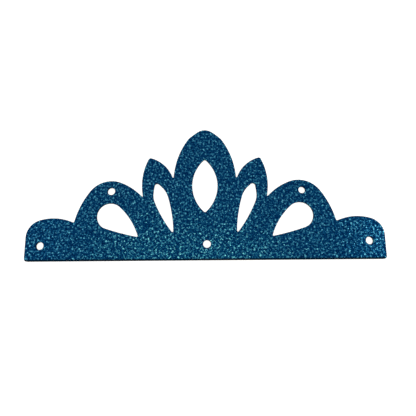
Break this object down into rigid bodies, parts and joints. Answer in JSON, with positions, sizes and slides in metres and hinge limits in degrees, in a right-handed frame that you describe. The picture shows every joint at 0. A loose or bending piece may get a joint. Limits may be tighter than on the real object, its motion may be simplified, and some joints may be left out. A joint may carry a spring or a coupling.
{
  "type": "paper crown",
  "caption": "Flat crown panel cut from thick navy glitter sheet: a tall centre petal, leaves and round arches with open windows, and punched holes for elastic.",
  "frame": {"origin": "middle of the outline's box, on the plain underside of the sheet", "axes": "+X along the band towards the right of the picture, +Y up to the peak, +Z out of the glitter face"},
  "size_m": [0.253, 0.0962, 0.0025],
  "materials": {
    "glitter_sheet": "foam sheet with a coat of fine navy and teal glitter on its face"
  },
  "bodies": {
    "root": {"crown_sheet": "glitter_sheet"}
  },
  "joints": []
}
